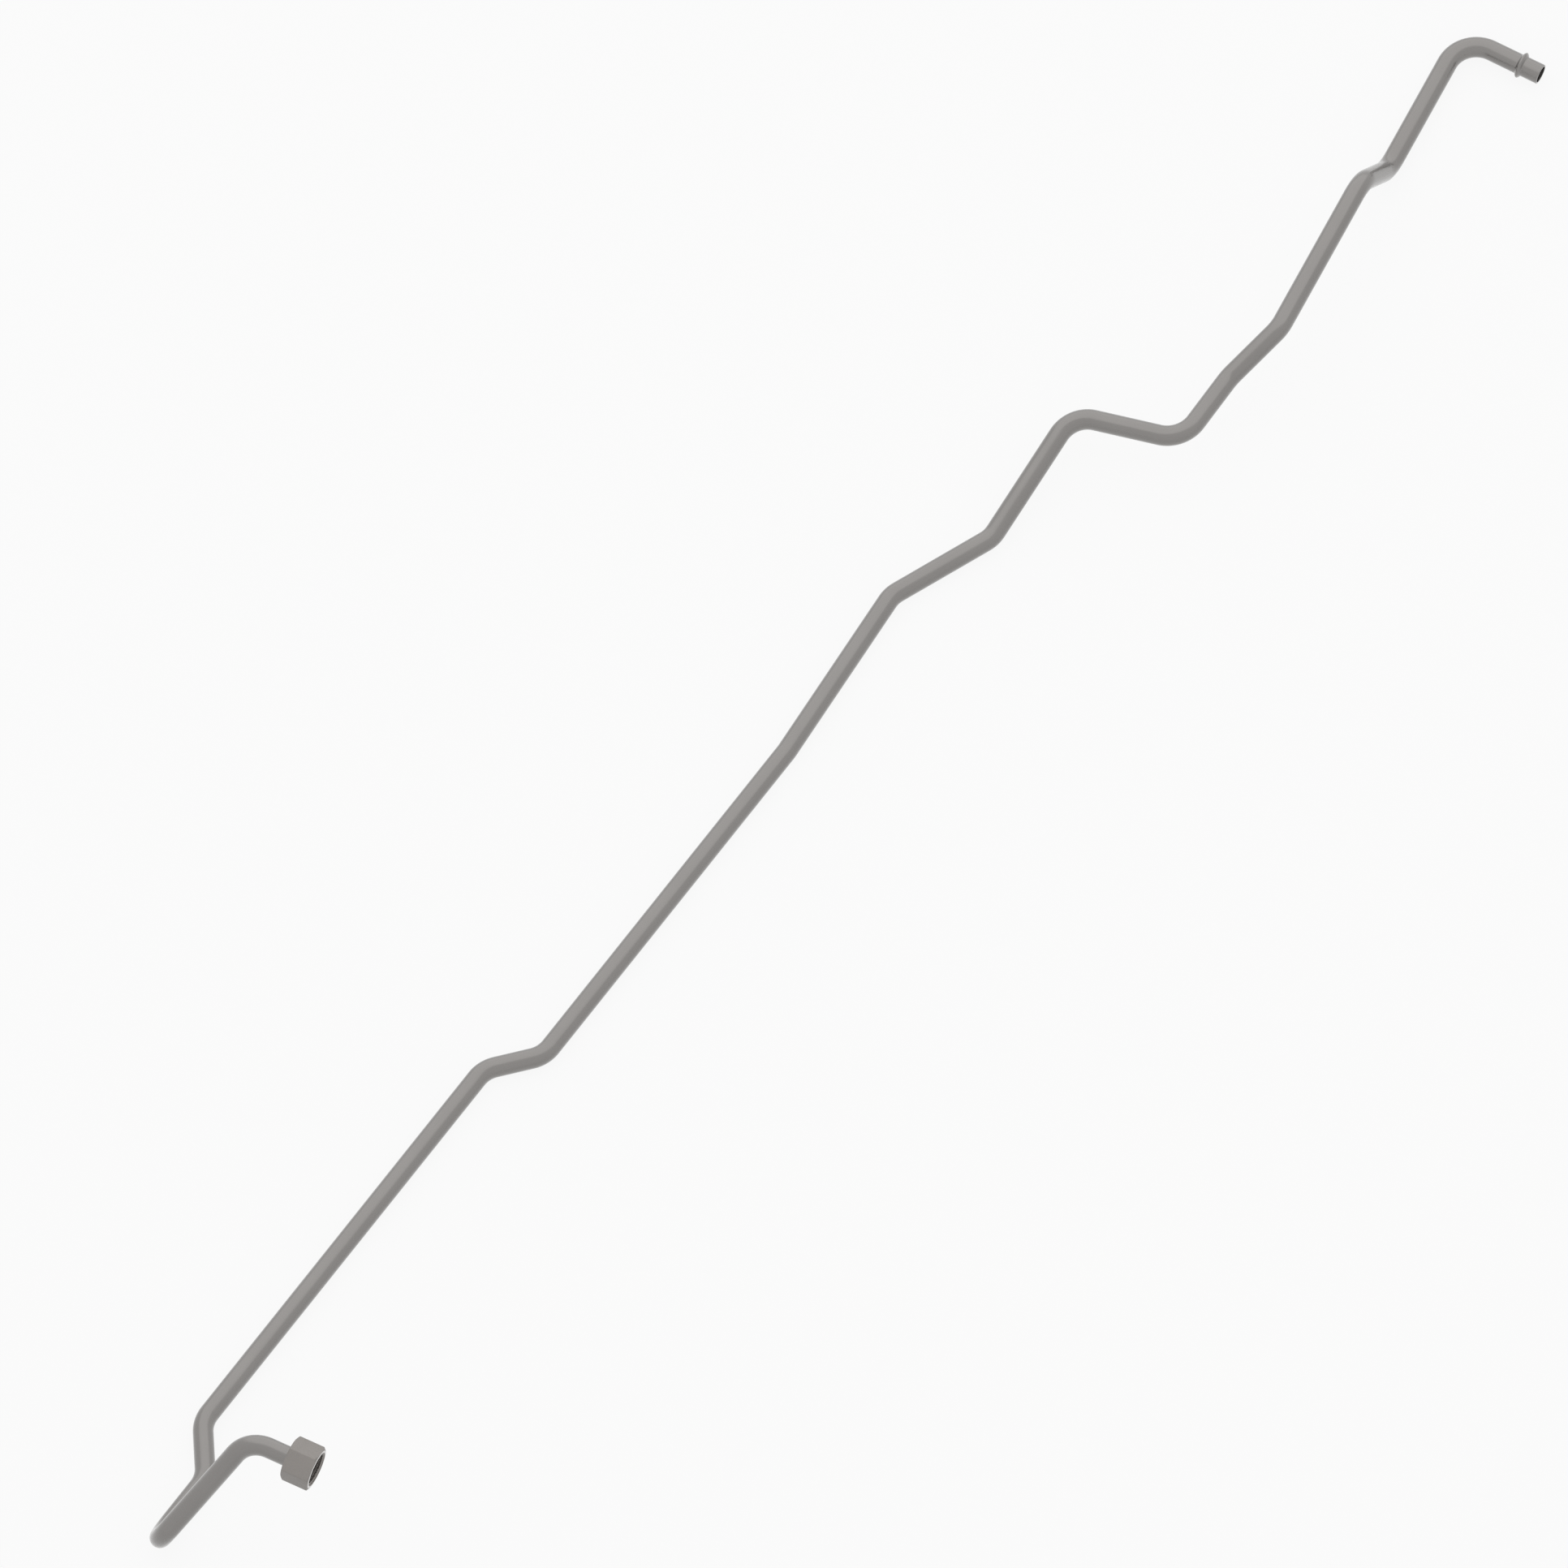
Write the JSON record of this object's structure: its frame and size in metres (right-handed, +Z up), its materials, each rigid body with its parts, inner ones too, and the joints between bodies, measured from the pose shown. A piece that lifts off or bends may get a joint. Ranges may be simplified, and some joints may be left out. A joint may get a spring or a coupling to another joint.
{
  "type": "bent tube assembly",
  "caption": "Long bent steel tube with a swivel hexagon nut on a brazed flat-face sleeve at one end and a formed hose bead at the other.",
  "frame": {"origin": "centre of the sleeve's flat sealing face, on the axis of the nut", "axes": "+X out of the nut's mouth along its axis, +Y along the length of the tube, +Z up from the floor it lies on"},
  "size_m": [0.3245, 1.1979, 0.104],
  "materials": {
    "tube_steel": "satin",
    "sleeve_steel": "satin, turned",
    "nut_steel": "satin"
  },
  "bodies": {
    "tube": {"tube": "tube_steel", "sleeve": "sleeve_steel"},
    "nut": {"swivel_nut": "nut_steel"}
  },
  "joints": [
    {"name": "nut_spin", "type": "hinge", "parent": "tube", "child": "nut", "pos_m": [0, 0, 0], "axis": [1, 0, 0], "continuous": true}
  ]
}
